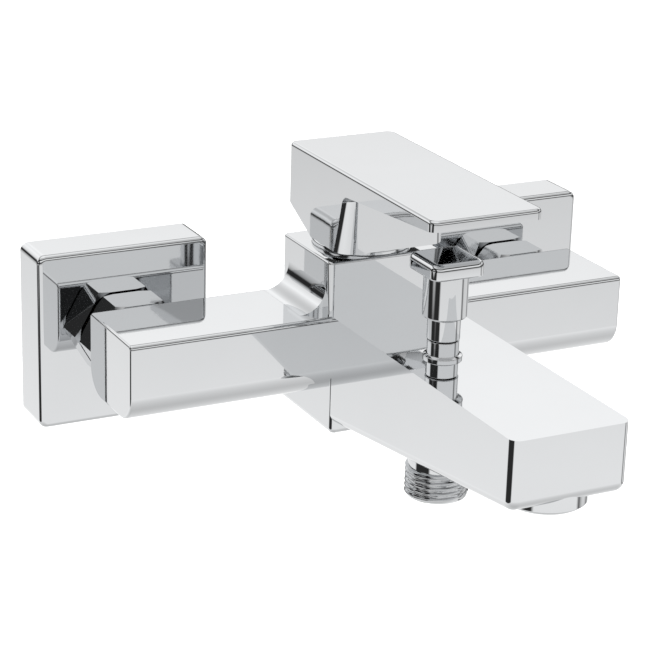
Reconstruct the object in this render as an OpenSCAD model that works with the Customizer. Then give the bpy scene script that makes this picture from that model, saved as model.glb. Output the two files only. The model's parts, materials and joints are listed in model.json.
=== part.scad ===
/* [Wall and inlets] */
// Distance between the two wall outlets
inlet_pitch = 150; // [138:1:175]
// Height that the eccentric unions lift the mixer above the wall outlets
union_throw = 5; // [0:0.5:6]
// Outer radius of the male half-inch pipe thread
half_inch_r = 10.4775; // [10.4:0.0005:10.55]
// Outer radius of the male three-quarter-inch pipe thread
three_quarter_r = 13.2; // [12.8:0.05:13.4]
// Length of the thread that screws into the wall
wall_thread_l = 14; // [10:1:20]
// Side of the square cover plates
escutcheon_w = 62; // [56:1:72]
// Depth of the cover plates
escutcheon_t = 17.5; // [15:0.5:20]
// Wall thickness of the cover plates
escutcheon_wall = 1.5; // [1:0.1:2.5]
// Width across the flats of the union nuts
nut_af = 30; // [30:0.5:34]
// Length of the union nuts
nut_l = 13.4; // [12:0.1:18]

/* [Mixer body] */
// Width of the crossbar
bar_w = 187; // [176:1:220]
// Depth of the crossbar, front to back
bar_t = 36; // [34:1:44]
// Height of the crossbar
bar_h = 27.7; // [26:0.1:34]
// Distance from the wall to the back of the crossbar
bar_back = 32.6; // [32.6:0.1:40]
// Width of the centre tower
tower_w = 42; // [38:1:48]
// Depth of the centre tower
tower_t = 36; // [35:0.5:42]
// Height of the centre tower above the crossbar
tower_rise = 18; // [16:0.5:24]
// Depth of the foot under the crossbar
foot_drop = 14.4; // [10:0.2:18]
// Radius of the rounded lower edges
lower_edge_r = 9.5; // [4:0.5:11]

/* [Spout] */
// Distance from the wall to the front of the spout
spout_reach = 184; // [176:1:240]
// Width of the spout
spout_w = 41.6; // [38:0.2:42]
// Height of the spout's front end
spout_tip_h = 22.8; // [21:0.2:26]
// Rise of the underside toward the tip, in degrees
spout_rise = 7.6; // [4:0.2:9]
// Distance from the front of the spout to the middle of the aerator
aerator_inset = 14; // [14:0.5:20]
// Radius of the aerator's visible ring
aerator_r = 13.5; // [13.2:0.1:14]

/* [Cartridge] */
// Radius of the cartridge
cartridge_r = 13; // [12.6:0.1:13.2]
// Thickness of each ceramic disc
disc_t = 3.2; // [2.6:0.1:3.4]
// Side of the square stem
stem_w = 7; // [6:0.5:8]
// Radius of the stem's pivot pin
pin_r = 1.5; // [1.2:0.1:1.8]

/* [Handle] */
// Width of the handle
handle_w = 40; // [34:1:44]
// Distance from the wall to the tip of the lever
handle_reach = 130; // [115:1:150]
// Height of the handle, underside of the hub to its flat top
handle_h = 28.8; // [26:0.2:36]
// Thickness of the lever at its tip
lever_tip_t = 3.4; // [3:0.1:5]
// Gap between the tower and the handle
handle_gap = 4.1; // [3.6:0.1:6]

/* [Diverter and shower outlet] */
// Sideways place of the diverter, to the left of the spout's middle
diverter_left = 5; // [0:0.5:6]
// Distance from the wall to the diverter's axis
diverter_depth = 114; // [104:1:122]
// Lift of the diverter knob
diverter_lift = 7.8; // [6:0.1:7.8]
// Side of the knob's square cap
cap_w = 19; // [16:0.5:21]
// Height of the knob's round sleeve
sleeve_h = 14.5; // [12:0.5:15]
// Radius of the pull rod
rod_r = 2.5; // [2:0.1:3]
// Length of the shower outlet below the spout
outlet_l = 15; // [12.6:0.2:18]

/* [Hidden] */
$fn = 64;

// Clearances: free, screwed together, running
free_gap = 0.3;
thread_gap = 0.12;
run_gap = 0.06;
face_gap = 0.05;
eps = 0.01;
pipe_pitch = 1.814;

// Inlet stack, as depths from the wall
union_collar_from = 2;
union_collar_to = 8;
washer_t = 2;
tail_collar_t = 2.5;
nut_flange_t = 3.2;
nut_to = bar_back - 0.6;
nut_from = nut_to - nut_l;
tail_collar_from = nut_to - nut_flange_t - tail_collar_t;
union_to = tail_collar_from - washer_t;
tail_r = 9.2;
waterway_r = 5;
tail_depth = 12;

// Mixer body, heights from the inlet axis
bar_low = -12.6;
bar_top = bar_low + bar_h;
tower_back = bar_back - 3.6;
tower_front = tower_back + tower_t;
tower_top = bar_top + tower_rise;
foot_low = bar_low - foot_drop;
bar_front = bar_back + bar_t;
foot_front = bar_front + 0.6;
cartridge_depth = (tower_back + tower_front) / 2;
bar_top_r = 1.5;
tower_edge_r = 2.5;
cove_r = 9;
channel_z = -2;
channel_r = 4.6;
channel_depth = cartridge_depth + 3;
port_x = 8;
port_r = 3.5;
mixed_depth = cartridge_depth + 7.5;
mixed_z = -6;
mixed_r = 4.5;

// Spout
spout_tip_low = bar_top - spout_tip_h;
nose_dip = 0.1;
aerator_depth = spout_reach - aerator_inset;
aerator_low = -12;
aerator_ring_h = 8;
aerator_thread_r = 11.9;
aerator_thread_h = 8;
aerator_bore_r = 9.5;
tub_passage_z = 7.2;
tub_passage_r = 3.6;

// Cartridge stack, bottom to top
cartridge_floor = 6;
base_t = 3;
fixed_disc_low = cartridge_floor + base_t;
moving_disc_low = fixed_disc_low + disc_t + face_gap;
carrier_low = moving_disc_low + disc_t;
carrier_h = 4;
rotor_low = carrier_low + carrier_h + face_gap * 3;
rotor_flange_h = 3.8;
housing_wall = 2;
housing_plate_low = rotor_low + rotor_flange_h + run_gap;
housing_top = housing_plate_low + 2.6;
rotor_neck_r = 8.4;
rotor_top = housing_top + 2.4;
pivot_z = rotor_low + 5.4;
moving_disc_r = 7.6;
rotor_slot_half = 5.6;
ball_r = 2.8;
ball_z = carrier_low + 0.4 + ball_r;
stem_top = tower_top + 21;
nut_thread_r = cartridge_r + 1.9;
nut_hole_r = 9.5;
nut_hex_h = 1.9;
nut_hex_af = 25;
dome_r = 17;
dome_h = 3.3;
dome_wall = 1.2;

// Handle
handle_low = tower_top + handle_gap;
handle_top = handle_low + handle_h;
handle_back = tower_back + 0.5;
hub_front = handle_back + 41.5;
lever_low = handle_top - 8.2;
hub_corner_r = 6.4;
handle_corner_r = 3;
relief_depth = 19;
relief_rise = 8.8;
screw_z = tower_top + 17.2;
screw_r = 2.5;
plug_r = 4;
plug_t = 4;

// Diverter, heights at rest
chamber_r = 8.5;
lower_seat_z = -13;
upper_seat_z = 1;
seat_t = 2;
seat_hole_r = 5.5;
upper_chamber_r = 6.2;
gland_thread_l = 4;
gland_thread_r = 6.5;
gland_collar_r = 5.2;
gland_top = bar_top + 6;
neck_r = 5.4;
neck_low = gland_top + 0.4;
neck_h = 7.8;
sleeve_low = neck_low + neck_h;
sleeve_r = 7.25;
cap_low = sleeve_low + sleeve_h;
cap_h = 5.2;
cap_corner_r = 3.5;
sleeve_wall = 1.6;
valve_r = 7.6;
valve_washer_t = 1.4;
valve_low = lower_seat_z + face_gap + valve_washer_t;
valve_h = upper_seat_z - lower_seat_z - diverter_lift - 2 * valve_washer_t - 2 * face_gap;
spring_low = valve_low + valve_h + valve_washer_t + face_gap;
spring_high = bar_top - gland_thread_l - face_gap;

// Shower outlet
outlet_high = lower_seat_z;
outlet_collar_high = underside(diverter_depth - half_inch_r) - 0.1;
outlet_low = underside(diverter_depth) - outlet_l;
outlet_neck_h = 3.6;
outlet_bore_r = 7.6;
check_high = outlet_low + 11;
poppet_travel = 1.5;
spider_t = 2;

// Height of the spout's flat underside at a distance from the wall
function underside(depth) = spout_tip_low - (spout_reach - depth) * tan(spout_rise);

// A round bar that points away from the wall, between two depths
module out_rod(r, from, to) {
    translate([0, -from, 0]) rotate([90, 0, 0]) cylinder(r = r, h = to - from);
}

// An upright round bar between two heights
module up_rod(r, low, high) {
    translate([0, 0, low]) cylinder(r = r, h = high - low);
}

// A side-view outline, with X as depth toward the front, made into a solid w wide
module side_slab(w) {
    translate([w / 2, 0, 0]) rotate([90, 0, -90]) linear_extrude(w) children();
}

// A front-view outline made into a solid between two depths
module front_slab(from, to) {
    translate([0, -from, 0]) rotate([90, 0, 0]) linear_extrude(to - from) children();
}

// A rectangle with round corners, its lower left corner at the origin
module soft_square(w, h, r) {
    translate([r, 0]) square([w - 2 * r, h]);
    translate([0, r]) square([w, h - 2 * r]);
    for (x = [r, w - r], y = [r, h - r]) translate([x, y]) circle(r);
}

// A rectangle whose two lower corners have radius low_r and upper corners high_r
module two_radius_square(w, h, low_r, high_r) {
    translate([low_r, 0]) square([w - 2 * low_r, low_r]);
    translate([0, low_r]) square([w, h - low_r - high_r]);
    translate([high_r, h - high_r - eps]) square([w - 2 * high_r, high_r + eps]);
    for (x = [low_r, w - low_r]) translate([x, low_r]) circle(low_r);
    for (x = [high_r, w - high_r]) translate([x, h - high_r]) circle(high_r);
}

// A rectangle whose two lower corners have radius r
module keel_square(w, h, r) {
    translate([r, 0]) square([w - 2 * r, h]);
    translate([0, r]) square([w, h - r]);
    for (x = [r, w - r]) translate([x, r]) circle(r);
}

// A concave corner fillet along +Y, filling the corner between +X and +Z
module cove(r, length) {
    feather = 0.6;
    difference() {
        translate([-1, 0, -1]) cube([r + 1 - feather, length, r + 1 - feather]);
        translate([r, -1, r]) rotate([-90, 0, 0]) cylinder(r = r, h = length + 2);
    }
}

// V grooves of a pipe thread, cut into a rod of radius r from height 0 up
module thread_grooves(r, count) {
    groove = 0.8;
    for (i = [0 : count - 1])
        translate([0, 0, (i + 0.5) * pipe_pitch])
            rotate_extrude()
                polygon([[r - groove, 0], [r + 1, -groove * 1.1], [r + 1, groove * 1.1]]);
}

// A coil spring between two heights
module coil_spring(r, wire_r, turns, low, high) {
    steps = turns * 20;
    sides = 8;
    rise = high - low - 2 * wire_r;
    points = [for (i = [0 : steps], k = [0 : sides - 1])
        let (a = 360 * turns * i / steps, b = 360 * k / sides, d = r + wire_r * cos(b))
            [d * cos(a), d * sin(a), low + wire_r + rise * i / steps + wire_r * sin(b)]];
    walls = [for (i = [0 : steps - 1], k = [0 : sides - 1])
        let (n = (k + 1) % sides)
            [i * sides + k, i * sides + n, (i + 1) * sides + n, (i + 1) * sides + k]];
    start_cap = [for (k = [0 : sides - 1]) sides - 1 - k];
    end_cap = [for (k = [0 : sides - 1]) steps * sides + k];
    polyhedron(points, concat([start_cap], [for (w = walls) [w[3], w[2], w[1], w[0]]], [end_cap]));
}

// Everything that hangs on the unions is lifted by their throw
module on_body() {
    translate([0, 0, union_throw]) children();
}

// Pieces on one inlet: side is -1 on the left and 1 on the right
module at_inlet(side) {
    translate([side * inlet_pitch / 2, 0, 0]) children();
}

module on_cartridge() {
    on_body() translate([0, -cartridge_depth, 0]) children();
}

module on_diverter() {
    on_body() translate([-diverter_left, -diverter_depth, 0]) children();
}

module bar() {
    translate([0, 0, bar_low]) side_slab(bar_w)
        translate([bar_back, 0]) two_radius_square(bar_t, bar_h, lower_edge_r, bar_top_r);
}

// The tower stands on the crossbar and its foot reaches below it
module tower() {
    height = tower_top - foot_low;
    foot_t = foot_front - tower_back;
    intersection() {
        translate([-tower_w / 2, -foot_front, foot_low])
            linear_extrude(height) soft_square(tower_w, foot_t, tower_edge_r);
        front_slab(tower_back - 1, foot_front + 1)
            translate([-tower_w / 2, foot_low]) keel_square(tower_w, height + 1, lower_edge_r);
        translate([0, 0, foot_low]) side_slab(tower_w + 2) {
            translate([tower_back, 0]) keel_square(foot_t, bar_top - foot_low - 2, lower_edge_r);
            translate([tower_back, lower_edge_r + 1]) square([tower_t, height]);
        }
    }
}

module spout() {
    nose_r = lower_edge_r + nose_dip;
    nose_x = spout_reach - lower_edge_r;
    nose_z = underside(nose_x) + lower_edge_r / cos(spout_rise);
    root = tower_front - tower_t / 2;
    intersection() {
        translate([-spout_w / 2, -spout_reach, foot_low])
            linear_extrude(bar_top - foot_low)
                soft_square(spout_w, spout_reach - root, tower_edge_r);
        side_slab(spout_w + 2) {
            translate([root, nose_z]) square([spout_reach + 1 - root, bar_top + 1 - nose_z]);
            polygon([[root, underside(root) - 1], [nose_x, nose_z - nose_r],
                     [nose_x, nose_z + 1], [root, nose_z + 1]]);
            translate([nose_x, nose_z]) circle(nose_r);
        }
        translate([0, -spout_reach, spout_tip_low])
            rotate([-spout_rise, 0, 0])
                translate([0, spout_reach, 0])
                    front_slab(-60, spout_reach + 20)
                        translate([-spout_w / 2 - nose_dip, 0])
                            keel_square(spout_w + 2 * nose_dip, bar_h * 3, lower_edge_r);
    }
}

// Passages that lead the water through the casting
module waterways() {
    for (side = [-1, 1]) {
        translate([side * inlet_pitch / 2, 0, 0])
            out_rod(tail_r + thread_gap, bar_back - 1, bar_back + tail_depth);
        translate([side * inlet_pitch / 2, 0, channel_z])
            out_rod(waterway_r, bar_back + 1, channel_depth + 2);
        translate([side * (port_x - 2), -channel_depth, channel_z])
            rotate([0, side * 90, 0]) cylinder(r = channel_r, h = inlet_pitch / 2 - port_x + 4);
        translate([side * port_x, -cartridge_depth, 0]) up_rod(port_r, channel_z, cartridge_floor + 1);
    }
    translate([0, -mixed_depth, 0]) up_rod(port_r, mixed_z, cartridge_floor + 1);
    translate([0, 0, mixed_z]) out_rod(mixed_r, mixed_depth - 1, diverter_depth - 2);
    translate([-diverter_left * 0.7, 0, tub_passage_z])
        out_rod(tub_passage_r, diverter_depth - 1, aerator_depth - 1);
    translate([0, -cartridge_depth, 0]) {
        up_rod(cartridge_r + thread_gap, cartridge_floor, tower_top);
        up_rod(nut_thread_r + thread_gap, housing_top, tower_top + 1);
    }
    translate([-diverter_left, -diverter_depth, 0]) {
        up_rod(chamber_r, foot_low, upper_seat_z);
        up_rod(seat_hole_r, 0, upper_seat_z + seat_t + 1);
        up_rod(upper_chamber_r, upper_seat_z + seat_t, bar_top - gland_thread_l);
        up_rod(gland_thread_r + thread_gap, bar_top - gland_thread_l, bar_top + 1);
    }
    translate([0, -aerator_depth, 0]) {
        up_rod(aerator_r + free_gap, foot_low, aerator_low + aerator_ring_h);
        up_rod(aerator_thread_r + thread_gap, aerator_low, aerator_seat());
    }
}

// Height of the shoulder that the aerator's washer seals on
function aerator_seat() = aerator_low + aerator_ring_h + aerator_thread_h + 1.5;

module body_casting() {
    cove_back = bar_back + bar_top_r;
    color("silver") on_body() difference() {
        union() {
            bar();
            tower();
            spout();
            for (side = [0, 1])
                mirror([side, 0, 0])
                    translate([tower_w / 2, -tower_front + tower_edge_r, bar_top])
                        cove(cove_r, tower_front - tower_edge_r - cove_back);
        }
        waterways();
    }
}

// A square cover plate, hollow behind and soft at its corners
module escutcheon(side) {
    inner = escutcheon_w - 2 * escutcheon_wall;
    color("silver") on_body() at_inlet(side) difference() {
        front_slab(0, escutcheon_t)
            translate([-escutcheon_w / 2, -escutcheon_w / 2])
                soft_square(escutcheon_w, escutcheon_w, 3);
        front_slab(-1, escutcheon_t - escutcheon_wall)
            translate([-inner / 2, -inner / 2]) soft_square(inner, inner, 2);
        out_rod(three_quarter_r + free_gap, 0, escutcheon_t + 1);
    }
}

// Wall thread, offset collar and body thread, with the waterway bored through
module eccentric_union(side) {
    land_count = floor((wall_thread_l - 2) / pipe_pitch) - 1;
    grooved = union_to - 1 - nut_from;
    color("darkkhaki") at_inlet(side) difference() {
        union() {
            difference() {
                out_rod(half_inch_r, -wall_thread_l, union_collar_from + 1);
                translate([0, wall_thread_l, 0]) rotate([90, 0, 0])
                    thread_grooves(half_inch_r, land_count);
            }
            translate([0, 0, union_throw / 2])
                out_rod(three_quarter_r + union_throw / 2 + 0.5, union_collar_from, union_collar_to);
            translate([0, 0, union_throw]) difference() {
                out_rod(three_quarter_r, union_collar_to - 1, union_to);
                translate([0, -nut_from, 0]) rotate([90, 0, 0])
                    thread_grooves(three_quarter_r, floor(grooved / pipe_pitch));
            }
        }
        out_rod(waterway_r, -wall_thread_l - 1, union_collar_to);
        translate([0, 0, union_throw]) out_rod(waterway_r, union_collar_from, union_to + 1);
    }
}

// A hexagon nut, chamfered, that pulls the tail onto the union
module union_nut(side) {
    corner_r = nut_af / 2 / cos(30);
    chamfer = 1.6;
    color("silver") on_body() at_inlet(side) difference() {
        intersection() {
            front_slab(nut_from, nut_to) circle(corner_r, $fn = 6);
            translate([0, -nut_from, 0]) rotate([90, 0, 0]) rotate_extrude()
                polygon([[0, 0], [corner_r - chamfer, 0], [corner_r + 0.1, chamfer * 0.8],
                         [corner_r + 0.1, nut_l - chamfer * 0.8], [corner_r - chamfer, nut_l],
                         [0, nut_l]]);
        }
        out_rod(three_quarter_r + thread_gap, nut_from - 1, nut_to - nut_flange_t);
        out_rod(tail_r + thread_gap, nut_from, nut_to + 1);
    }
}

// The tube that screws into the crossbar, with a collar for the nut to pull
module inlet_tail(side) {
    color("darkkhaki") on_body() at_inlet(side) difference() {
        union() {
            out_rod(tail_r, tail_collar_from, bar_back + tail_depth - 1);
            out_rod(three_quarter_r - 0.3, tail_collar_from, tail_collar_from + tail_collar_t);
        }
        out_rod(waterway_r, tail_collar_from - 1, bar_back + tail_depth);
    }
}

module filter_washer(side) {
    hole_r = 0.7;
    step = 2.4;
    color("dimgray") on_body() at_inlet(side) difference() {
        out_rod(three_quarter_r - 0.3, union_to, tail_collar_from);
        for (x = [-1 : 1], z = [-1 : 1])
            translate([x * step, 0, z * step]) out_rod(hole_r, union_to - 1, tail_collar_from + 1);
    }
}

// Round plate under the ceramic discs, with a port for each water channel
module cartridge_ports(r, low, high) {
    for (side = [-1, 1])
        translate([side * port_x, 0, 0]) up_rod(r, low, high);
    translate([0, cartridge_depth - mixed_depth, 0]) up_rod(r, low, high);
}

module cartridge_base() {
    seal_h = 1.2;
    color("ivory") on_cartridge() difference() {
        up_rod(cartridge_r, cartridge_floor, cartridge_floor + base_t);
        cartridge_ports(port_r - 0.5, cartridge_floor - 1, cartridge_floor + base_t + 1);
        cartridge_ports(port_r + 0.7, cartridge_floor - 1, cartridge_floor + seal_h);
    }
}

module cartridge_port_seals() {
    seal_h = 1.15;
    color("black") on_cartridge() difference() {
        cartridge_ports(port_r + 0.6, cartridge_floor, cartridge_floor + seal_h);
        cartridge_ports(port_r - 0.5, cartridge_floor - 1, cartridge_floor + seal_h + 1);
    }
}

module fixed_ceramic_disc() {
    color("white") on_cartridge() difference() {
        up_rod(cartridge_r - housing_wall - 0.1, fixed_disc_low, fixed_disc_low + disc_t);
        cartridge_ports(port_r - 1, fixed_disc_low - 1, fixed_disc_low + disc_t + 1);
    }
}

// The disc that slides and turns, with a pocket that joins the ports
module moving_ceramic_disc() {
    pocket = 2;
    color("white") on_cartridge() difference() {
        up_rod(moving_disc_r, moving_disc_low, moving_disc_low + disc_t);
        translate([-3, -5.5, moving_disc_low - 1]) cube([6, 5, pocket + 1]);
    }
}

module disc_carrier() {
    color("ivory") on_cartridge() difference() {
        up_rod(moving_disc_r, carrier_low, carrier_low + carrier_h);
        up_rod(ball_r + free_gap, carrier_low - 1, carrier_low + carrier_h + 1);
    }
}

// The cup that holds the discs and guides the rotor
module cartridge_housing() {
    color("ivory") on_cartridge() difference() {
        up_rod(cartridge_r, fixed_disc_low, housing_top);
        up_rod(cartridge_r - housing_wall, fixed_disc_low - 1, housing_plate_low);
        up_rod(rotor_neck_r + run_gap, housing_plate_low - 1, housing_top + 1);
    }
}

// The swivelling guide: it carries the pin on which the stem tilts
module cartridge_rotor() {
    color("slategray") on_cartridge() difference() {
        union() {
            up_rod(cartridge_r - housing_wall - run_gap, rotor_low, rotor_low + rotor_flange_h);
            up_rod(rotor_neck_r, rotor_low, rotor_top);
        }
        translate([-stem_w / 2 - free_gap, -rotor_slot_half, rotor_low - 1])
            cube([stem_w + 2 * free_gap, 2 * rotor_slot_half, rotor_top - rotor_low + 2]);
        translate([-rotor_neck_r, 0, pivot_z]) rotate([0, 90, 0])
            cylinder(r = pin_r, h = 2 * rotor_neck_r);
    }
}

module stem_pin() {
    length = 2 * rotor_neck_r - 1.4;
    color("gray") on_cartridge()
        translate([-length / 2, 0, pivot_z]) rotate([0, 90, 0]) cylinder(r = pin_r, h = length);
}

// The square stem: a ball below the pivot moves the disc, the top holds the handle
module cartridge_stem() {
    color("darkkhaki") on_cartridge() difference() {
        union() {
            translate([-stem_w / 2, -stem_w / 2, pivot_z - 2.6])
                cube([stem_w, stem_w, stem_top - pivot_z + 2.6]);
            up_rod(ball_r - 0.8, ball_z, pivot_z);
            translate([0, 0, ball_z]) sphere(ball_r);
        }
        translate([-stem_w, 0, pivot_z]) rotate([0, 90, 0])
            cylinder(r = pin_r + run_gap, h = 2 * stem_w);
    }
}

// The ring nut that holds the cartridge down
module cartridge_nut() {
    color("darkkhaki") on_cartridge() difference() {
        union() {
            up_rod(nut_thread_r, housing_top, tower_top);
            translate([0, 0, tower_top - eps]) cylinder(r = nut_hex_af / 2 / cos(30),
                                                        h = nut_hex_h, $fn = 6);
        }
        up_rod(nut_hole_r, housing_top - 1, tower_top + nut_hex_h + 1);
    }
}

module trim_dome() {
    inner_r = dome_r - dome_wall;
    color("silver") on_cartridge() difference() {
        union() {
            up_rod(dome_r, tower_top, tower_top + dome_h / 2);
            translate([0, 0, tower_top + dome_h / 2])
                cylinder(r1 = dome_r, r2 = dome_r - 2, h = dome_h / 2);
        }
        up_rod(inner_r, tower_top - 1, tower_top + dome_h - dome_wall);
        up_rod(nut_hole_r, tower_top, tower_top + dome_h + 1);
    }
}

// Side view of the handle: hub, sloped relief behind and thin lever in front
module handle_outline() {
    step = 3;
    polygon([[handle_back, handle_top], [handle_reach, handle_top],
             [handle_reach, handle_top - lever_tip_t], [hub_front + step, lever_low],
             [hub_front, lever_low - step], [hub_front, handle_low],
             [handle_back + relief_depth, handle_low], [handle_back, handle_low + relief_rise]]);
}

module handle() {
    color("silver") on_body() difference() {
        intersection() {
            side_slab(handle_w) handle_outline();
            union() {
                translate([-handle_w / 2, -handle_reach, lever_low - 3])
                    linear_extrude(handle_top - lever_low + 3)
                        soft_square(handle_w, handle_reach - handle_back, handle_corner_r);
                translate([-handle_w / 2, -hub_front, handle_low])
                    linear_extrude(lever_low - handle_low)
                        soft_square(handle_w, hub_front - handle_back, hub_corner_r);
            }
        }
        translate([-stem_w / 2 - face_gap, -cartridge_depth - stem_w / 2 - face_gap, 0])
            cube([stem_w + 2 * face_gap, stem_w + 2 * face_gap, stem_top + face_gap]);
        translate([0, 0, screw_z]) {
            out_rod(screw_r + thread_gap, handle_back - 1, cartridge_depth);
            out_rod(plug_r + face_gap, handle_back - 1, handle_back + plug_t);
        }
    }
}

// A headless screw that clamps the handle to the stem
module handle_screw() {
    screw_l = 7;
    screw_tip = cartridge_depth - stem_w / 2 - face_gap;
    color("dimgray") on_body() translate([0, 0, screw_z]) difference() {
        out_rod(screw_r, screw_tip - screw_l, screw_tip);
        translate([0, -screw_tip + screw_l, 0]) rotate([90, 0, 0])
            translate([0, 0, -1]) cylinder(r = 1.4, h = 3.4, $fn = 6);
    }
}

module index_plug() {
    color("dimgray") on_body() translate([0, 0, screw_z])
        out_rod(plug_r, handle_back + 0.2, handle_back + plug_t - 0.2);
}

// The screwed bush that the pull rod slides through
module diverter_gland() {
    groove_low = bar_top - 2.6;
    color("silver") on_diverter() difference() {
        union() {
            up_rod(gland_thread_r, bar_top - gland_thread_l, bar_top);
            up_rod(gland_collar_r, bar_top - eps, gland_top);
        }
        up_rod(rod_r + run_gap, bar_top - gland_thread_l - 1, gland_top + 1);
        up_rod(rod_r + 1.7, groove_low, groove_low + 1.7);
    }
}

module gland_o_ring() {
    ring_r = 0.75;
    color("black") on_diverter() translate([0, 0, bar_top - 1.75])
        rotate_extrude() translate([rod_r + 0.1 + ring_r, 0]) circle(ring_r);
}

module diverter_rod() {
    color("darkkhaki") on_diverter() up_rod(rod_r, valve_low - valve_washer_t, cap_low - 1);
}

// The round sleeve of the knob, with a narrow neck below
module diverter_sleeve() {
    roof = 3;
    color("silver") on_diverter() difference() {
        union() {
            up_rod(neck_r, neck_low, sleeve_low + 1);
            up_rod(sleeve_r, sleeve_low, cap_low);
        }
        up_rod(neck_r - 1.2, neck_low - 1, sleeve_low + 2);
        up_rod(sleeve_r - sleeve_wall, sleeve_low + 2, cap_low - roof);
        up_rod(rod_r, neck_low, cap_low + 1);
    }
}

module diverter_cap() {
    crown = 1.2;
    color("silver") on_diverter() intersection() {
        translate([-cap_w / 2, -cap_w / 2, cap_low]) linear_extrude(cap_h)
            soft_square(cap_w, cap_w, cap_corner_r);
        union() {
            up_rod(cap_w, cap_low, cap_low + cap_h - crown);
            translate([0, 0, cap_low + cap_h - crown])
                cylinder(r1 = cap_w * 0.72, r2 = cap_w * 0.3, h = crown);
        }
    }
}

// The disc that closes one seat or the other
module diverter_valve() {
    color("darkkhaki") on_diverter() difference() {
        up_rod(valve_r, valve_low, valve_low + valve_h);
        up_rod(rod_r, valve_low - 1, valve_low + valve_h + 1);
    }
}

module valve_washers() {
    color("black") on_diverter() difference() {
        union() {
            up_rod(valve_r - 0.6, valve_low - valve_washer_t, valve_low);
            up_rod(valve_r - 0.6, valve_low + valve_h, valve_low + valve_h + valve_washer_t);
        }
        up_rod(rod_r, valve_low - 5, valve_low + valve_h + 5);
    }
}

module diverter_spring() {
    wire = 0.45;
    color("lightgray") on_diverter()
        coil_spring(rod_r + 0.4 + wire, wire, 7, spring_low, spring_high);
}

// The male outlet for the shower hose: its top is the lower valve seat
module shower_outlet() {
    land_count = floor((outlet_collar_high - outlet_neck_h - outlet_low) / pipe_pitch);
    color("silver") on_diverter() difference() {
        union() {
            up_rod(chamber_r - thread_gap, outlet_collar_high - 1, outlet_high);
            up_rod(half_inch_r - 0.9, outlet_low + 1, outlet_collar_high);
            difference() {
                up_rod(half_inch_r, outlet_low, outlet_collar_high - outlet_neck_h);
                translate([0, 0, outlet_low]) thread_grooves(half_inch_r, land_count);
            }
        }
        up_rod(seat_hole_r, outlet_low - 1, outlet_high + 1);
        up_rod(outlet_bore_r, outlet_low - 1, check_high);
    }
}

// A plastic insert with a seat above and a spider that guides the poppet
module check_valve_body() {
    inner_r = outlet_bore_r - 1.3;
    color("ivory") on_diverter() difference() {
        up_rod(outlet_bore_r - 0.1, outlet_low + 0.5, check_high);
        up_rod(4, outlet_low, check_high + 1);
        difference() {
            up_rod(inner_r, outlet_low, check_high - 1.6);
            translate([-inner_r, -1, outlet_low]) cube([2 * inner_r, 2, spider_t + 0.5]);
            translate([-1, -inner_r, outlet_low]) cube([2, 2 * inner_r, spider_t + 0.5]);
            up_rod(2.6, outlet_low, outlet_low + spider_t + 0.5);
        }
    }
    color("ivory") on_diverter() difference() {
        union() {
            up_rod(2.6, outlet_low + 0.5, outlet_low + spider_t + 0.5);
            translate([-inner_r, -1, outlet_low + 0.5]) cube([2 * inner_r, 2, spider_t]);
            translate([-1, -inner_r, outlet_low + 0.5]) cube([2, 2 * inner_r, spider_t]);
        }
        up_rod(1.2 + run_gap, outlet_low, outlet_low + spider_t + 1);
    }
}

module check_valve_poppet() {
    head_high = check_high - 1.6 - face_gap;
    color("black") on_diverter() {
        up_rod(5.2, head_high - 1.4, head_high);
        up_rod(1.2, outlet_low + 0.2 + poppet_travel, head_high - 1);
    }
}

module check_valve_spring() {
    wire = 0.3;
    color("lightgray") on_diverter()
        coil_spring(2.1, wire, 4, outlet_low + spider_t + 0.55, check_high - 3.1);
}

// The ring and thread that hold the aerator in the spout
module aerator_housing() {
    color("silver") on_body() translate([0, -aerator_depth, 0]) difference() {
        union() {
            up_rod(aerator_r, aerator_low, aerator_low + aerator_ring_h - 0.1);
            up_rod(aerator_thread_r, aerator_low + 1, aerator_low + aerator_ring_h + aerator_thread_h);
        }
        up_rod(aerator_bore_r, aerator_low - 1, aerator_seat() + 1);
    }
}

module aerator_screen() {
    step = 2.2;
    hole_r = 0.8;
    rows = floor(aerator_bore_r / step);
    color("dimgray") on_body() translate([0, -aerator_depth, 0]) difference() {
        up_rod(aerator_bore_r - 0.1, aerator_low + 0.8, aerator_low + 3);
        for (x = [-rows : rows], y = [-rows : rows])
            if (norm([x, y]) * step < aerator_bore_r - 1.4)
                translate([x * step, y * step, 0]) up_rod(hole_r, aerator_low, aerator_low + 4);
    }
}

module aerator_washer() {
    color("black") on_body() translate([0, -aerator_depth, 0]) difference() {
        up_rod(aerator_thread_r - 0.1, aerator_seat() - 1.5, aerator_seat());
        up_rod(aerator_bore_r - 1, aerator_seat() - 2, aerator_seat() + 1);
    }
}

body_casting();
escutcheon(-1);  // left_escutcheon
escutcheon(1);  // right_escutcheon
eccentric_union(-1);  // left_eccentric_union
eccentric_union(1);  // right_eccentric_union
union_nut(-1);  // left_union_nut
union_nut(1);  // right_union_nut
inlet_tail(-1);  // left_inlet_tail
inlet_tail(1);  // right_inlet_tail
filter_washer(-1);  // left_filter_washer
filter_washer(1);  // right_filter_washer
cartridge_base();
cartridge_port_seals();
fixed_ceramic_disc();
moving_ceramic_disc();
disc_carrier();
cartridge_housing();
cartridge_rotor();
stem_pin();
cartridge_stem();
cartridge_nut();
trim_dome();
handle();
handle_screw();
index_plug();
diverter_gland();
gland_o_ring();
diverter_rod();
diverter_sleeve();
diverter_cap();
diverter_valve();
valve_washers();
diverter_spring();
shower_outlet();
check_valve_body();
check_valve_poppet();
check_valve_spring();
aerator_housing();
aerator_screen();
aerator_washer();
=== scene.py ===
# %% [markdown]
# # Wall mounted bath mixer
# The mixer comes in as a fixed frame: every inner and outer part is already in its true place.
# This lesson gives each part its finish, and remodels the plated parts that catch the light,
# because chrome shows every edge: a corner without a radius reads as a plain block.

# %% Load the frame
import json
from math import atan2, cos, pi, radians, sin, tan

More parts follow.
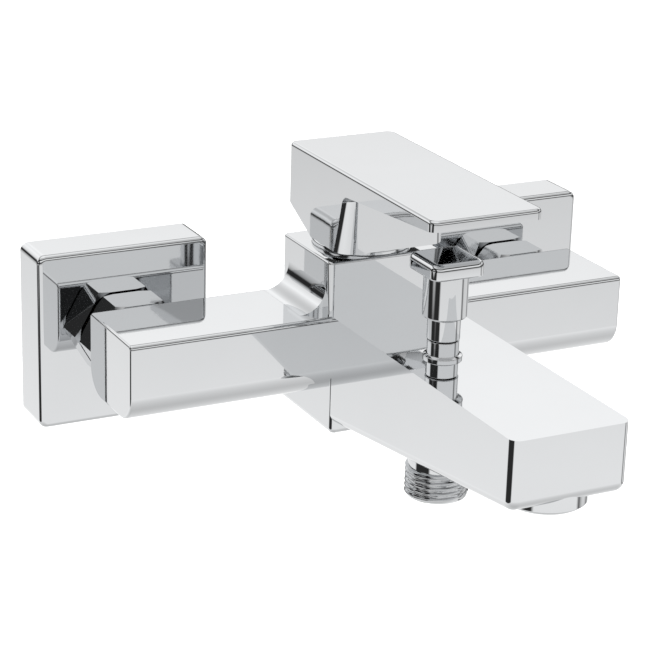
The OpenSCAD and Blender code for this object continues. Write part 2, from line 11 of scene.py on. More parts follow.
import bmesh
import bpy
from mathutils import Matrix, Vector


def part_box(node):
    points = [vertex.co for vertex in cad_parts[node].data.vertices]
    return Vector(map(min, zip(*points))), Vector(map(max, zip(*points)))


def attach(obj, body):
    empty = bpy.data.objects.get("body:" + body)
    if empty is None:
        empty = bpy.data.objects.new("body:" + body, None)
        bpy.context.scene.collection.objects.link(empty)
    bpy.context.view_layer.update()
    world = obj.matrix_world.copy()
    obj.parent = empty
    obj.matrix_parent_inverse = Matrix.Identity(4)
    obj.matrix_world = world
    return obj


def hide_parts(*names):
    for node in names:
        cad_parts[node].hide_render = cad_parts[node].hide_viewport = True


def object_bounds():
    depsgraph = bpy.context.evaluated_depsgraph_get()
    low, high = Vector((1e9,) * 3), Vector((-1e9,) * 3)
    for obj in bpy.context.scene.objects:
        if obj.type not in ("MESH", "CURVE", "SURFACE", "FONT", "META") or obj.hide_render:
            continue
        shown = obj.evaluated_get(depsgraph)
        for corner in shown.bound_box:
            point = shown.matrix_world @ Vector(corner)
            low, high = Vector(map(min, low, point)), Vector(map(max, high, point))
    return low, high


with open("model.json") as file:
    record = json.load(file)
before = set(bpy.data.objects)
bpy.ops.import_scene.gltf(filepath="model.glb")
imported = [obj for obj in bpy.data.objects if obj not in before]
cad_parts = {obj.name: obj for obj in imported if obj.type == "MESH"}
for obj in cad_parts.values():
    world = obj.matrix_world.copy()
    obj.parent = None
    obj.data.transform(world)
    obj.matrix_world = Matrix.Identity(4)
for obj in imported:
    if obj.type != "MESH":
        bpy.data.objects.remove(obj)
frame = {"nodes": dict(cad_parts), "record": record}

CAD_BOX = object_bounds()
MM = 0.001

# %% [markdown]
# ## Camera
# The view is a long lens from the left front, a little above the mixer. The camera stands on a
# direction given by a turn around the mixer and a height angle, with a slight roll.

# %% Camera
VIEW_TURN = radians(-27.213)
VIEW_RISE = radians(19.942)
VIEW_ROLL = radians(1.684)
CAMERA_PLACE = Vector((-347.9, -698.4, 275.0)) * MM
FOCAL_MM = 125.6


def camera_axes(turn, rise, roll):
    """Right, up and back directions of a camera that looks along +Y when turn is 0."""
    right = Vector((cos(turn), sin(turn), 0))
    back = Vector((sin(turn) * cos(rise), -cos(turn) * cos(rise), sin(rise)))
    up = back.cross(right)
    return cos(roll) * right + sin(roll) * up, cos(roll) * up - sin(roll) * right, back


lens = bpy.data.cameras.new("camera")
lens.lens = FOCAL_MM
lens.sensor_width = 36
lens.clip_start = 0.01
camera = bpy.data.objects.new("camera", lens)
bpy.context.scene.collection.objects.link(camera)
stance = Matrix(camera_axes(VIEW_TURN, VIEW_RISE, VIEW_ROLL)).transposed()
camera.matrix_world = Matrix.Translation(CAMERA_PLACE) @ stance.to_4x4()
bpy.context.scene.camera = camera
print("camera at", [round(v, 3) for v in CAMERA_PLACE])

# %% [markdown]
# ## Shader maths as expressions
# A wrapped socket can be added and multiplied like a number. Each operator adds one Math node, so
# a finish reads as a formula. Every other node comes from one method, for materials and for the
# room around the mixer alike.


# %% Shader helper
class Wire:
    """A socket of a node tree that takes part in Python arithmetic."""

    def __init__(self, wiring, socket):
        self.wiring = wiring
        self.socket = socket

    def math(self, operation, other):
        return self.wiring.node("ShaderNodeMath", {"operation": operation}, [self, other])

    def __add__(self, other):
        return self.math("ADD", other)

    def __mul__(self, other):
        return self.math("MULTIPLY", other)

    __radd__ = __add__
    __rmul__ = __mul__


def set_stops(ramp, stops):
    """Gives a new colour ramp its grey stops, each a place from 0 to 1 and a level."""
    ramp.elements[1].position = stops[-1][0]
    for place, _ in stops[1:-1]:
        ramp.elements.new(place)
    for element, (_, level) in zip(ramp.elements, stops):
        element.color = (level, level, level, 1)


# A Mix node keeps its two colours in these sockets, and their mix in this output.
MIX_LOW, MIX_HIGH, MIX_RESULT = 6, 7, 2


class Wiring:
    """The nodes of a material or of a world, around its one shader."""

    def __init__(self, tree, shader):
        self.tree = tree
        self.shader = tree.nodes[shader]

    def node(self, kind, settings, inputs, output=0):
        """Adds a node: first its settings, then the values or links of its sockets."""
        made = self.tree.nodes.new(kind)
        for key, value in settings.items():
            if key == "stops":
                set_stops(made.color_ramp, value)
            else:
                setattr(made, key, value)
        pairs = inputs.items() if isinstance(inputs, dict) else enumerate(inputs)
        for key, value in pairs:
            if isinstance(value, Wire):
                self.tree.links.new(value.socket, made.inputs[key])
            else:
                made.inputs[key].default_value = value
        return Wire(self, made.outputs[output])

    def blend(self, amount, low, high):
        """A colour between low and high."""
        sockets = {0: amount, MIX_LOW: low, MIX_HIGH: high}
        return self.node("ShaderNodeMix", {"data_type": "RGBA"}, sockets, MIX_RESULT)

    def feed(self, socket, wire):
        self.tree.links.new(wire.socket, self.shader.inputs[socket])


class Finish(Wiring):
    """A material with one Principled shader, built from settings and formulas."""

    def __init__(self, name, **settings):
        self.material = bpy.data.materials.new(name)
        self.material.use_nodes = True
        super().__init__(self.material.node_tree, "Principled BSDF")
        for socket, value in settings.items():
            self.shader.inputs[socket.replace("_", " ")].default_value = value
        self.place = self.node("ShaderNodeTexCoord", {}, {}, "Object")

    def noise(self, scale, detail=2.0):
        values = {"Vector": self.place, "Scale": scale, "Detail": detail}
        return self.node("ShaderNodeTexNoise", {}, values, "Fac")

    def tone(self, amount, low, high):
        """Base colour that varies between low and high."""
        self.feed("Base Color", self.blend(amount, (*low, 1), (*high, 1)))

    def bump(self, height, distance):
        self.feed("Normal", self.node("ShaderNodeBump", {}, {"Height": height, "Distance": distance}))


print("one node method serves:", Finish.__name__, "and the room")

# %% [markdown]
# ## Chrome
# Bath chrome is bright nickel under a very thin chromium skin. It is nearly a mirror, with a faint
# cool tone. What tells it from a perfect mirror is small: a soft haze that varies over the part,
# fine wiping marks, and a very slight waviness left by hand polishing.


# %% Chrome finish
def chrome_finish():
    chrome = Finish("polished_chrome", Base_Color=(0.70, 0.71, 0.72, 1), Metallic=1.0, Roughness=0.05)
    haze = chrome.noise(22.0, 3.0)
    wiping = chrome.noise(160.0, 4.0)
    chrome.feed("Roughness", haze * 0.03 + wiping * 0.015 + 0.012)
    chrome.tone(haze, (0.68, 0.69, 0.70), (0.72, 0.73, 0.74))
    chrome.bump(chrome.noise(38.0, 1.0), 0.00004)
    return chrome.material


CHROME = chrome_finish()
print("finish:", CHROME.name)

# %% [markdown]
# ## Turned brass, steel, rubber, plastic and ceramic
# The inner parts are seen from behind and from below. Brass from the lathe has fine rings, drawn
# steel has a short grain, rubber is dull with a dusty bloom, moulded plastic has a soft sheen with
# a fine texture, and lapped ceramic is smooth with a faint warm speckle.


# %% Inner finishes
def brass_finish():
    brass = Finish("turned_brass", Metallic=1.0, Roughness=0.28)
    tarnish = brass.noise(60.0, 4.0)
    wave = {"Vector": brass.place, "Scale": 700.0, "Distortion": 0.4}
    rings = brass.node("ShaderNodeTexWave", {"bands_direction": "Y"}, wave, "Fac")
    brass.tone(tarnish, (0.70, 0.52, 0.26), (0.82, 0.66, 0.38))
    brass.feed("Roughness", tarnish * 0.16 + 0.18)
    brass.bump(rings, 0.00002)
    return brass.material


def steel_finish():
    steel = Finish("drawn_steel", Metallic=1.0, Roughness=0.3)
    grain = steel.noise(420.0, 3.0)
    steel.tone(grain, (0.50, 0.51, 0.53), (0.66, 0.67, 0.68))
    steel.feed("Roughness", grain * 0.2 + 0.2)
    steel.bump(grain, 0.00001)
    return steel.material


def rubber_finish():
    rubber = Finish("seal_rubber", Roughness=0.8)
    bloom = rubber.noise(140.0, 4.0)
    rubber.tone(bloom, (0.018, 0.018, 0.02), (0.05, 0.05, 0.052))
    rubber.feed("Roughness", bloom * 0.25 + 0.6)
    rubber.bump(rubber.noise(900.0, 2.0), 0.00002)
    return rubber.material


def plastic_finish(name, low, high):
    plastic = Finish(name, Roughness=0.42)
    tone = plastic.noise(45.0, 3.0)
    plastic.tone(tone, low, high)
    plastic.feed("Roughness", tone * 0.12 + 0.36)
    plastic.bump(plastic.noise(1200.0, 2.0), 0.00001)
    return plastic.material


def ceramic_finish():
    ceramic = Finish("lapped_ceramic", Roughness=0.15)
    speckle = ceramic.noise(600.0, 5.0)
    ceramic.tone(speckle, (0.86, 0.84, 0.80), (0.94, 0.93, 0.90))
    ceramic.feed("Roughness", speckle * 0.08 + 0.1)
    return ceramic.material


FINISHES = {
    "chrome": CHROME,
    "brass": brass_finish(),
    "steel": steel_finish(),
    "rubber": rubber_finish(),
    "cartridge_plastic": plastic_finish("cartridge_plastic", (0.74, 0.72, 0.66), (0.82, 0.80, 0.75)),
    "plug_plastic": plastic_finish("plug_plastic", (0.05, 0.052, 0.056), (0.09, 0.092, 0.096)),
    "ceramic": ceramic_finish(),
}
for entry in frame["record"]["subparts"]:
    part = frame["nodes"][entry["node"]]
    part.data.materials.clear()
    part.data.materials.append(FINISHES[entry["material_slot"]])
print("finishes:", sorted(FINISHES))

# %% [markdown]
# ## Helpers for plated parts
# A cast and plated part is a few flat faces joined by radii. So each one starts as an outline of
# a few corners, pushed into a block, and its edges are then bevelled, the large radii first.
# Weighted normals keep the flats optically flat beside their radii.


# %% Block and bevel helpers
def block(outline, low, high, place):
    """A block from an outline of few corners. place(u, v, w) puts a corner in the mixer's frame, in mm."""
    bm = bmesh.new()
    ring = [bm.verts.new(place(u, v, low)) for u, v in outline]
    face = bm.faces.new(ring)
    pushed = bmesh.ops.extrude_face_region(bm, geom=[face])
    far = [v for v in pushed["geom"] if isinstance(v, bmesh.types.BMVert)]
    shift = place(0, 0, high) - place(0, 0, low)
    bmesh.ops.translate(bm, vec=shift, verts=far)
    bmesh.ops.recalc_face_normals(bm, faces=bm.faces)
    return bm


def side_view(u, v, w):
    """Outline u is depth from the wall, v is height, and the block runs across in x."""
    return Vector((w, -u, v))


def front_view(u, v, w):
    """Outline u is x, v is height, and the block runs away from the wall."""
    return Vector((u, -w, v))


def edges_at(bm, test):
    """Edges whose two ends both pass a test of their place."""
    return [e for e in bm.edges if all(test(v.co) for v in e.verts)]


def round_edges(bm, edges, radius, segments):
    bmesh.ops.bevel(bm, geom=edges, offset=radius, offset_type="OFFSET", segments=segments,
                    profile=0.5, affect="EDGES", clamp_overlap=True, material=-1)
    bmesh.ops.remove_doubles(bm, verts=bm.verts, dist=0.001)


def near(value, target, slack=0.02):
    return abs(value - target) < slack


def upright_edges(bm):
    """Edges that run straight up."""
    return [e for e in bm.edges if near(e.verts[0].co.x, e.verts[1].co.x)
            and near(e.verts[0].co.y, e.verts[1].co.y)]


def to_piece(bm, name, body, slot, replaced=(), sharp=35.0):
    """Turns a block in mm into a finished piece in metres that rides on a body."""
    bmesh.ops.scale(bm, vec=(MM, MM, MM), verts=bm.verts)
    bmesh.ops.recalc_face_normals(bm, faces=bm.faces)
    mesh = bpy.data.meshes.new(name)
    bm.to_mesh(mesh)
    bm.free()
    mesh.shade_smooth()
    mesh.set_sharp_from_angle(angle=radians(sharp))
    mesh.materials.append(FINISHES[slot])
    piece = bpy.data.objects.new(name, mesh)
    bpy.context.scene.collection.objects.link(piece)
    weighted = piece.modifiers.new("weighted_normals", "WEIGHTED_NORMAL")
    weighted.keep_sharp = True
    weighted.weight = 100
    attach(piece, body)
    if replaced:
        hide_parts(*replaced)
    print(name, "faces:", len(mesh.polygons))
    return piece


def box_mm(node):
    """Lowest and highest corner of a part, in mm."""
    low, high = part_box(node)
    return Vector(low) * 1000, Vector(high) * 1000


# %% [markdown]
# ## The casting
# The crossbar, the centre tower with its foot and the flat spout are one casting. Each arm is
# modelled as its own block that runs into the next, because their radii differ: the lower edges
# are full and round, the upper ones are tight.

# %% Casting sizes
LIFT = box_mm("left_union_nut")[0].z / 2 + box_mm("left_union_nut")[1].z / 2
BODY_LOW, BODY_HIGH = box_mm("body_casting")
HANDLE_LOW, HANDLE_HIGH = box_mm("handle")
BAR_HALF = BODY_HIGH.x
BAR_DEPTH = 36.0
TOWER_DEPTH = 36.0
TOWER_RISE = 18.0
TOWER_HALF = 21.0
TOWER_TOP = BODY_HIGH.z
BAR_TOP = TOWER_TOP - TOWER_RISE
BAR_LOW = LIFT - 12.6
FOOT_LOW = BODY_LOW.z
TOWER_BACK = -BODY_HIGH.y
TOWER_FRONT = TOWER_BACK + TOWER_DEPTH
BAR_BACK = TOWER_BACK + 3.6
BAR_FRONT = BAR_BACK + BAR_DEPTH
FOOT_FRONT = BAR_FRONT + 0.6
SPOUT_FRONT = -BODY_LOW.y
SPOUT_HALF = 20.8
SPOUT_TIP_H = 22.8
TIP_LOW = BAR_TOP - SPOUT_TIP_H
SPOUT_SLOPE = tan(radians(7.6))
LOWER_R = 9.5
BAR_TOP_R = 1.6
BAR_END_R = 0.9
print("bar", BAR_LOW, BAR_TOP, "tower top", TOWER_TOP, "lift", LIFT)


# %% Crossbar
def level_edges(bm, height):
    """Edges at one height that run along x."""
    level = edges_at(bm, lambda p: near(p.z, height))
    return [e for e in level if near(e.verts[0].co.y, e.verts[1].co.y)]


def bar_block():
    outline = [(BAR_BACK, BAR_LOW), (BAR_FRONT, BAR_LOW), (BAR_FRONT, BAR_TOP), (BAR_BACK, BAR_TOP)]
    bm = block(outline, -BAR_HALF, BAR_HALF, side_view)
    round_edges(bm, level_edges(bm, BAR_LOW), LOWER_R, 18)
    round_edges(bm, level_edges(bm, BAR_TOP), BAR_TOP_R, 6)
    for side in (-1, 1):
        round_edges(bm, edges_at(bm, lambda p: near(p.x, side * BAR_HALF)), BAR_END_R, 4)
    return bm


to_piece(bar_block(), "crossbar", "body", "chrome", ("body_casting",))

# %% [markdown]
# ## Tower and foot
# The tower rises from the bar with a wide hollow blend on each side, and its foot hangs below the
# bar as a bowl with full round edges. The blend is a concave corner in the outline: the same
# bevel that rounds an outer edge fills an inner one.

# %% Tower
COVE_R = 9.0
COVE_RIM = 0.3
TOWER_EDGE_R = 2.5
TOWER_TOP_R = 0.8
FOOT_R = LOWER_R - 0.5
# Plated faces in one plane would flicker black, so a face that meets another stands off by this.
LEDGE = 0.02


def blend_block():
    """The two hollow blends: their core hides inside the tower."""
    reach = TOWER_HALF + COVE_R + COVE_RIM
    wall = TOWER_HALF + LEDGE
    ledge = BAR_TOP + LEDGE
    root = BAR_TOP - 2.0
    crest = ledge + COVE_R + COVE_RIM
    core = TOWER_HALF - 6.0
    half_outline = [(reach, root), (reach, ledge), (wall, ledge), (wall, crest), (core, crest)]
    outline = half_outline + [(-u, v) for u, v in reversed(half_outline)]
    bm = block(outline, BAR_BACK + 1.6, TOWER_FRONT - TOWER_EDGE_R, front_view)
    inner = edges_at(bm, lambda p: near(p.z, ledge) and near(abs(p.x), wall))
    round_edges(bm, inner, COVE_R, 16)
    return bm


def tower_block():
    step = BAR_TOP - 4.0
    outline = [(TOWER_BACK, FOOT_LOW), (FOOT_FRONT, FOOT_LOW), (FOOT_FRONT, step), (TOWER_FRONT, step),
               (TOWER_FRONT, TOWER_TOP), (TOWER_BACK, TOWER_TOP)]
    bm = block(outline, -TOWER_HALF, TOWER_HALF, side_view)
    round_edges(bm, upright_edges(bm), TOWER_EDGE_R, 8)
    round_edges(bm, edges_at(bm, lambda p: near(p.z, TOWER_TOP)), TOWER_TOP_R, 4)
    round_edges(bm, edges_at(bm, lambda p: near(p.z, FOOT_LOW)), FOOT_R, 16)
    return bm


to_piece(blend_block(), "tower_blend", "body", "chrome", ("body_casting",))
to_piece(tower_block(), "tower", "body", "chrome", ("body_casting",))

# %% [markdown]
# ## Spout
# The spout is a flat-topped wedge. Its underside rises toward the tip, its lower edges are round,
# and its top falls away very slightly toward the two long edges. That crown comes from a wide
# bevel that is then pressed nearly flat.

# %% Spout
SPOUT_CORNER_R = 3.5
CROWN_W = 9.0
CROWN_DROP = 0.7


def spout_block():
    root = (TOWER_BACK + TOWER_FRONT) / 2
    top = BAR_TOP + 2 * LEDGE
    outline = [(root, TIP_LOW - (SPOUT_FRONT - root) * SPOUT_SLOPE), (SPOUT_FRONT, TIP_LOW),
               (SPOUT_FRONT, top), (root, top)]
    bm = block(outline, -SPOUT_HALF, SPOUT_HALF, side_view)
    corners = [e for e in upright_edges(bm) if near(e.verts[0].co.y, -SPOUT_FRONT)]
    round_edges(bm, corners, SPOUT_CORNER_R, 10)
    under = edges_at(bm, lambda p: p.z < TIP_LOW + 0.1)
    under = [e for e in under if not all(near(v.co.y, -root) for v in e.verts)]
    round_edges(bm, under, LOWER_R, 18)
    long_top = [e for e in edges_at(bm, lambda p: near(p.z, top)) if e.calc_length() > 2 * SPOUT_HALF + 1]
    round_edges(bm, long_top, CROWN_W, 14)
    for v in bm.verts:
        if v.co.z > top - CROWN_W - 0.01:
            v.co.z = top - (top - v.co.z) * CROWN_DROP / CROWN_W
    return bm


to_piece(spout_block(), "spout", "body", "chrome", ("body_casting",))

# %% [markdown]
# ## Cover plates
# Each cover plate is a pressed square shell that hides the hole in the wall. A block open at the
# back, with its edges rolled over, gets its wall thickness last.

# %% Cover plates
PLATE_WALL = 1.5
PLATE_CORNER_R = 3.0
PLATE_ROLL_R = 1.8


def plate_shell(low, high):
    outline = [(low.x, low.z), (high.x, low.z), (high.x, high.z), (low.x, high.z)]
    bm = block(outline, -high.y, -low.y, front_view)
    corners = [e for e in bm.edges if not near(e.verts[0].co.y, e.verts[1].co.y, 1.0)]
    round_edges(bm, corners, PLATE_CORNER_R, 10)
    round_edges(bm, edges_at(bm, lambda p: near(p.y, low.y)), PLATE_ROLL_R, 7)
    back = [f for f in bm.faces if all(near(v.co.y, high.y) for v in f.verts)]
    bmesh.ops.delete(bm, geom=back, context="FACES_ONLY")
    bmesh.ops.recalc_face_normals(bm, faces=bm.faces)
    bmesh.ops.solidify(bm, geom=bm.faces, thickness=PLATE_WALL)
    for v in bm.verts:
        v.co.y = min(v.co.y, high.y)
    return bm


for side in ("left", "right"):
    plate = side + "_escutcheon"
    to_piece(plate_shell(*box_mm(plate)), side + "_cover_plate", "body", "chrome", (plate,))

# %% [markdown]
# ## Handle
# The lever is one casting too: a hub that covers the cartridge, cut away at the back so that it
# can tip, and a thin flat blade that reaches over the spout. A hollow radius joins the two below.

# %% Handle
HUB_FRONT = TOWER_BACK + 42.0
LEVER_LOW = HANDLE_HIGH.z - 8.2
LEVER_TIP_T = 3.4
RELIEF_RISE = 8.8
RELIEF_DEPTH = 19.0
HANDLE_CORNER_R = 3.0
HUB_CORNER_R = 6.0
THROAT_R = 2.5
HANDLE_TOP_R = 1.3


def handle_block():
    back, tip = -HANDLE_HIGH.y, -HANDLE_LOW.y
    low, top = HANDLE_LOW.z, HANDLE_HIGH.z
    half = HANDLE_HIGH.x
    outline = [(back, low + RELIEF_RISE), (back + RELIEF_DEPTH, low), (HUB_FRONT, low),
               (HUB_FRONT, LEVER_LOW), (tip, top - LEVER_TIP_T), (tip, top), (back, top)]
    bm = block(outline, -half, half, side_view)
    ends = [e for e in upright_edges(bm) if not near(e.verts[0].co.y, -HUB_FRONT)]
    round_edges(bm, ends, HANDLE_CORNER_R, 10)
    hub = [e for e in upright_edges(bm) if near(e.verts[0].co.y, -HUB_FRONT)]
    round_edges(bm, hub, HUB_CORNER_R, 14)
    throat = edges_at(bm, lambda p: near(p.z, LEVER_LOW) and -0.1 < p.y + HUB_FRONT < HUB_CORNER_R + 0.5)
    round_edges(bm, throat, THROAT_R, 8)
    round_edges(bm, edges_at(bm, lambda p: near(p.z, top)), HANDLE_TOP_R, 6)
    return bm


to_piece(handle_block(), "lever_handle", "lever", "chrome", ("handle",))

# %% [markdown]
# ## Turned parts
# The diverter's sleeve, its screwed bush, the trim ring, the hose outlet and the aerator's ring
# come off a lathe. A short profile is spun once around the part's own axis and its rims bevelled.


# %% Lathe helper
def turned(profile, centre, rim=0.35, steps=96):
    """Spins a closed profile of (radius, height) corners around the upright axis through centre."""
    bm = bmesh.new()
    ring = [bm.verts.new((centre.x + r, centre.y, z)) for r, z in profile]
    for start, end in zip(ring, ring[1:] + ring[:1]):
        bm.edges.new((start, end))
    bmesh.ops.bevel(bm, geom=ring, offset=rim, offset_type="OFFSET", segments=3, profile=0.5,
                    affect="VERTICES", clamp_overlap=True, material=-1)
    bmesh.ops.spin(bm, geom=bm.verts[:] + bm.edges[:], cent=(centre.x, centre.y, 0), axis=(0, 0, 1),
                   angle=2 * pi, steps=steps, use_merge=True)
    bmesh.ops.remove_doubles(bm, verts=bm.verts, dist=0.0005)
    bmesh.ops.recalc_face_normals(bm, faces=bm.faces)
    return bm


def middle_of(node):
    low, high = box_mm(node)
    return (low + high) / 2


# %% Diverter knob
SLEEVE_LOW, SLEEVE_HIGH = box_mm("diverter_sleeve")
CAP_LOW, CAP_HIGH = box_mm("diverter_cap")
GLAND_HIGH = box_mm("diverter_gland")[1].z
KNOB = middle_of("diverter_sleeve")
SLEEVE_R = SLEEVE_HIGH.x - KNOB.x
NECK_R = 5.4
NECK_H = 7.8
NECK_WALL = 1.2
SOCKET_H = 9.0
SHAFT_HOLE_R = 2.6
BUSH_HOLE_R = 2.56
BUSH_COLLAR_R = 5.2
BUSH_RIM_R = 6.4
BUSH_DEPTH = 3.5
CAP_CORNER_R = 3.5
CAP_TOP_R = 2.2
CAP_LOW_R = 0.6


def cap_block():
    outline = [(CAP_LOW.x, CAP_LOW.z), (CAP_HIGH.x, CAP_LOW.z),
               (CAP_HIGH.x, CAP_HIGH.z), (CAP_LOW.x, CAP_HIGH.z)]
    bm = block(outline, -CAP_HIGH.y, -CAP_LOW.y, front_view)
    round_edges(bm, upright_edges(bm), CAP_CORNER_R, 10)
    round_edges(bm, edges_at(bm, lambda p: near(p.z, CAP_HIGH.z)), CAP_TOP_R, 8)
    round_edges(bm, edges_at(bm, lambda p: near(p.z, CAP_LOW.z)), CAP_LOW_R, 3)
    return bm


sleeve_profile = [(SHAFT_HOLE_R, SLEEVE_HIGH.z), (SLEEVE_R, SLEEVE_HIGH.z), (SLEEVE_R, SLEEVE_LOW.z + NECK_H),
                  (NECK_R, SLEEVE_LOW.z + NECK_H - 0.6), (NECK_R, SLEEVE_LOW.z),
                  (NECK_R - NECK_WALL, SLEEVE_LOW.z), (NECK_R - NECK_WALL, SLEEVE_LOW.z + SOCKET_H),
                  (SHAFT_HOLE_R, SLEEVE_LOW.z + SOCKET_H)]
bush_profile = [(BUSH_HOLE_R, GLAND_HIGH), (BUSH_COLLAR_R, GLAND_HIGH), (BUSH_COLLAR_R, BAR_TOP + 1.2),
                (BUSH_RIM_R, BAR_TOP + 0.9), (BUSH_RIM_R, BAR_TOP - BUSH_DEPTH),
                (BUSH_HOLE_R, BAR_TOP - BUSH_DEPTH)]
to_piece(cap_block(), "knob_cap", "diverter", "chrome", ("diverter_cap",))
to_piece(turned(sleeve_profile, KNOB), "knob_sleeve", "diverter", "chrome", ("diverter_sleeve",))
to_piece(turned(bush_profile, KNOB, 0.25), "knob_bush", "body", "chrome", ("diverter_gland",))

# %% Trim ring under the handle
DOME_LOW, DOME_HIGH = box_mm("trim_dome")
DOME = middle_of("trim_dome")
DOME_R = DOME_HIGH.x - DOME.x
DOME_HOLE_R = 9.6
DOME_WALL = 1.2
DOME_SLOPE_W = 2.2
DOME_SLOPE_H = 1.9
dome_profile = [(DOME_HOLE_R, DOME_LOW.z + 1.9), (DOME_HOLE_R, DOME_HIGH.z),
                (DOME_R - DOME_SLOPE_W, DOME_HIGH.z), (DOME_R, DOME_HIGH.z - DOME_SLOPE_H),
                (DOME_R, DOME_LOW.z), (DOME_R - DOME_WALL, DOME_LOW.z),
                (DOME_R - DOME_WALL, DOME_LOW.z + 1.5)]
to_piece(turned(dome_profile, DOME, 0.3), "trim_ring", "body", "chrome", ("trim_dome",))

# %% [markdown]
# ## Hose outlet
# The outlet is a male half-inch thread. The thread is a true helix with a rounded crest, cut by
# lifting and pressing the rings of a fine tube as they go round.

# %% Hose outlet
OUTLET_LOW, OUTLET_HIGH = box_mm("shower_outlet")
OUTLET = middle_of("shower_outlet")
OUTLET_R = OUTLET_HIGH.x - OUTLET.x
OUTLET_BORE_R = 7.6
PITCH = 1.814
GROOVE_T = 0.95
NECK_INSET = 0.9
NECK_T = 3.8
CHAMBER_INSET = 2.2
TOP_GAP = 0.5
NECK_LOW = TIP_LOW - (SPOUT_FRONT + OUTLET.y) * SPOUT_SLOPE - 5.1
TUBE_H = OUTLET_HIGH.z - OUTLET_LOW.z - TOP_GAP


def thread_depth(angle, height):
    """How deep the thread's groove is at a place, from 0 at a crest to 1 at a root."""
    turn = (height - OUTLET_LOW.z) / PITCH - angle / (2 * pi)
    wave = 0.5 - 0.5 * cos(2 * pi * turn)
    fade = min(1.0, (height - OUTLET_LOW.z) / 1.2) * min(1.0, max(0.0, (NECK_LOW - height) / 0.9))
    return wave * fade


def outlet_radius(angle, height):
    """Outer radius of the tube: thread below, then a smooth neck, then the screwed-in chamber end."""
    if height > NECK_LOW + NECK_T:
        return OUTLET_R - CHAMBER_INSET
    if height >= NECK_LOW:
        return OUTLET_R - NECK_INSET
    lead_in = 0.5 * max(0.0, 1 - (height - OUTLET_LOW.z) / 0.6)
    return OUTLET_R - GROOVE_T * thread_depth(angle, height) - lead_in


def grown_rim(bm, rim, kind):
    """Extrudes a rim and gives the new vertices or edges."""
    grown = bmesh.ops.extrude_edge_only(bm, edges=rim)["geom"]
    return [g for g in grown if isinstance(g, kind)]


def outlet_tube():
    steps, sides = 80, 96
    bm = bmesh.new()
    bmesh.ops.create_circle(bm, segments=sides, radius=OUTLET_R - NECK_INSET)
    bmesh.ops.translate(bm, vec=(OUTLET.x, OUTLET.y, OUTLET_LOW.z), verts=bm.verts)
    rim = bm.edges[:]
    for _ in range(steps):
        rim = grown_rim(bm, rim, bmesh.types.BMEdge)
        bmesh.ops.translate(bm, vec=(0, 0, TUBE_H / steps), verts=list({v for e in rim for v in e.verts}))
    for v in bm.verts:
        out = Vector((v.co.x - OUTLET.x, v.co.y - OUTLET.y, 0))
        v.co += out.normalized() * (outlet_radius(atan2(out.y, out.x), v.co.z) - out.length)
    lower = [e for e in bm.edges if e.is_boundary and near(e.verts[0].co.z, OUTLET_LOW.z)]
    mouth = grown_rim(bm, lower, bmesh.types.BMEdge)
    for v in {v for e in mouth for v in e.verts}:
        out = Vector((v.co.x - OUTLET.x, v.co.y - OUTLET.y, 0))
        v.co -= out.normalized() * (out.length - OUTLET_BORE_R)
    deep = grown_rim(bm, mouth, bmesh.types.BMVert)
    bmesh.ops.translate(bm, vec=(0, 0, TUBE_H), verts=deep)
    bmesh.ops.bridge_loops(bm, edges=[e for e in bm.edges if e.is_boundary])
    return bm


to_piece(outlet_tube(), "hose_outlet", "body", "chrome", ("shower_outlet",), 60.0)

# %% Aerator ring
AERATOR = middle_of("aerator_housing")
RING_LOW, RING_HIGH = box_mm("aerator_housing")
RING_R = RING_HIGH.x - AERATOR.x
RING_H = 7.8
RING_BORE_R = 9.5
RING_THREAD_R = 11.9
ring_profile = [(RING_BORE_R, RING_LOW.z), (RING_R - 1.2, RING_LOW.z), (RING_R, RING_LOW.z + 1.0),
                (RING_R, RING_LOW.z + RING_H), (RING_THREAD_R, RING_LOW.z + RING_H + 0.2),
                (RING_THREAD_R, RING_HIGH.z), (RING_BORE_R, RING_HIGH.z)]
to_piece(turned(ring_profile, AERATOR, 0.3), "aerator_ring", "body", "chrome", ("aerator_housing",))

# %% [markdown]
# ## Studio
# Chrome shows its room. A white room with a few darker bands gives plated metal its pale flats and
# its dark edge lines: a rounded edge sweeps through many directions, so it picks up a band that the
# flats on both sides of it miss. The floor lies well below, so its shadow stays soft, and it is left
# out of the reflections, which come from the bands alone.

# %% Floor
FLOOR_DROP = 0.16
FLOOR_HALF = 8


def studio_floor():
    paper = Finish("floor_paper", Roughness=0.9)
    tone = paper.noise(3.0, 2.0)
    paper.tone(tone, (0.93, 0.93, 0.93), (0.95, 0.95, 0.95))
    bm = bmesh.new()
    bmesh.ops.create_grid(bm, x_segments=1, y_segments=1, size=FLOOR_HALF)
    bmesh.ops.translate(bm, vec=(0, 0, CAD_BOX[0][2] - FLOOR_DROP), verts=bm.verts)
    mesh = bpy.data.meshes.new("floor")
    bm.to_mesh(mesh)
    bm.free()
    mesh.materials.append(paper.material)
    floor = bpy.data.objects.new("floor", mesh)
    bpy.context.scene.collection.objects.link(floor)
    floor.visible_glossy = False
    return floor


print("floor at", round(studio_floor().bound_box[0][2], 3))

# %% World light
ROOM_LIGHT = 1.25
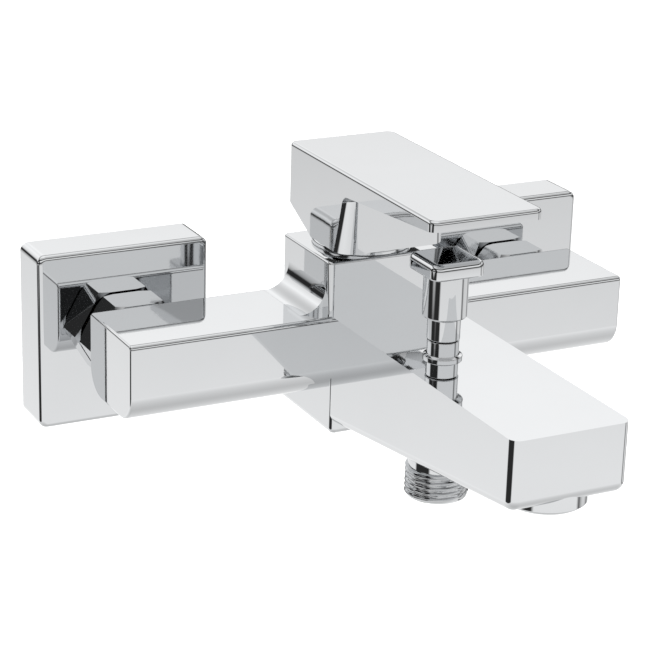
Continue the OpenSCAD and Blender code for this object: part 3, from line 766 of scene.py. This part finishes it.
# Each stop is a height in the room, from -1 at the floor to 1 overhead, and how bright it is
BACK_WALL = [(-1.0, 0.6), (-0.45, 0.9), (-0.3, 0.72), (-0.12, 0.4), (-0.05, 0.03), (0.1, 0.03),
             (0.2, 0.75), (0.42, 1.0), (0.5, 0.75), (0.56, 0.55), (0.59, 0.02), (0.67, 0.02),
             (0.7, 0.6), (1.0, 1.0)]
FRONT_WALL = [(-1.0, 0.5), (-0.6, 0.7), (-0.4, 0.84), (-0.3, 0.72), (-0.1, 0.4), (0.0, 0.03), (0.14, 0.03),
              (0.21, 0.7), (0.46, 0.9), (0.54, 0.02), (0.66, 0.02), (0.72, 0.45), (0.9, 0.5), (1.0, 0.9)]
# Each stop is a place from the left side of the room, -1, to the right side, 1
SIDE_SCREEN = [(-1.0, 0.9), (-0.955, 0.9), (-0.935, 0.03), (-0.82, 0.03), (-0.76, 1.0), (0.8, 1.0),
               (0.86, 0.1), (0.92, 0.9), (1.0, 0.9)]


def bands(room, place, stops):
    """Brightness of one side of the room, as bands along a place from -1 to 1."""
    ramp_stops = [((at + 1) / 2, level) for at, level in stops]
    return room.node("ShaderNodeValToRGB", {"stops": ramp_stops}, [(place + 1) * 0.5])


def studio_world():
    """A bright room: dark bands around its front and back walls, and an upright one on each side."""
    world = bpy.data.worlds.new("studio")
    world.use_nodes = True
    bpy.context.scene.world = world
    room = Wiring(world.node_tree, "Background")
    gaze = room.node("ShaderNodeTexCoord", {}, {})
    across, away, height = [room.node("ShaderNodeSeparateXYZ", {}, [gaze], axis) for axis in range(3)]
    toward_back = room.node("ShaderNodeMapRange", {}, {"Value": away, "From Min": -0.25, "From Max": 0.2})
    walls = room.blend(toward_back, bands(room, height, FRONT_WALL), bands(room, height, BACK_WALL))
    screened = room.node("ShaderNodeVectorMath", {"operation": "MULTIPLY"},
                         [walls, bands(room, across, SIDE_SCREEN)])
    room.feed("Color", screened)
    room.shader.inputs["Strength"].default_value = ROOM_LIGHT


studio_world()
bpy.context.scene.view_settings.view_transform = "Standard"
print("bands:", len(BACK_WALL), len(FRONT_WALL), len(SIDE_SCREEN))

# %% Ceiling light
# A broad light straight above whitens the paper without showing in the plating.
ceiling = bpy.data.lights.new("ceiling", "SUN")
ceiling.energy = 3.2
ceiling.angle = radians(60)
ceiling_light = bpy.data.objects.new("ceiling", ceiling)
ceiling_light.visible_glossy = False
bpy.context.scene.collection.objects.link(ceiling_light)
print("ceiling light:", round(ceiling.energy, 1))

# %% Sizes
print("box of the CAD model:", [list(c) for c in CAD_BOX])
